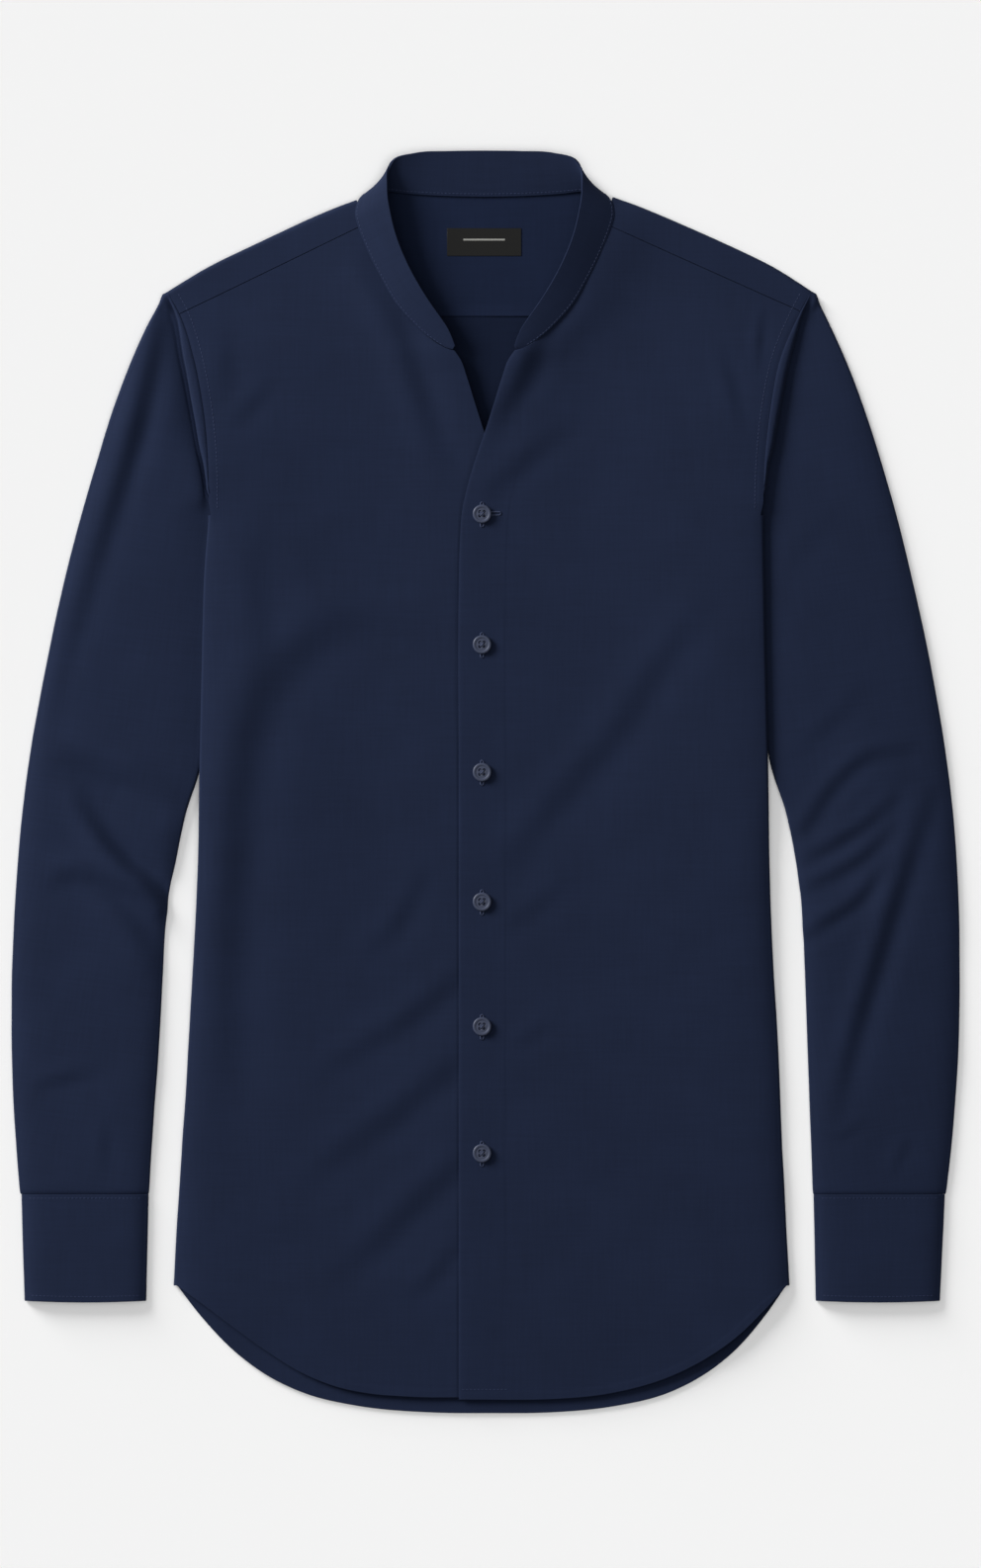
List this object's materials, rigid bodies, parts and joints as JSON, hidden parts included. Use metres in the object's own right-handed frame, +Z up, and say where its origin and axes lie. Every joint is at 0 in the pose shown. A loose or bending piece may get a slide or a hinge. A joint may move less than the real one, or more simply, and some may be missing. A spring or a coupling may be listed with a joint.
{
  "type": "tulip collar shirt",
  "caption": "Long-sleeved navy cotton shirt with a curved stand (tulip) collar, button front, barrel cuffs and curved hem, buttoned and laid flat on its back",
  "frame": {"origin": "on the surface that the shirt lies on, under the middle of its bounding box", "axes": "+Z up from the surface, +Y from the hem to the collar, +X towards the wearer's left sleeve"},
  "size_m": [0.5938, 0.7915, 0.021],
  "materials": {
    "navy_cotton": "fine plain-woven cotton, matt with a faint sheen",
    "navy_cotton_collar": "the same cotton over a stiff interlining, smooth and matt",
    "navy_cotton_cuff": "the same cotton over a stiff interlining, smooth and matt",
    "navy_button": "dyed polyester resin, half gloss",
    "black_satin": "woven black satin ribbon, bare"
  },
  "bodies": {
    "root": {"back_panel": "navy_cotton", "yoke": "navy_cotton", "front_left": "navy_cotton", "front_right": "navy_cotton", "collar": "navy_cotton_collar", "sleeve_left": "navy_cotton", "sleeve_right": "navy_cotton", "cuff_left": "navy_cotton_cuff", "cuff_right": "navy_cotton_cuff", "button_1": "navy_button", "button_2": "navy_button", "button_3": "navy_button", "button_4": "navy_button", "button_5": "navy_button", "button_6": "navy_button", "label": "black_satin"}
  },
  "joints": []
}
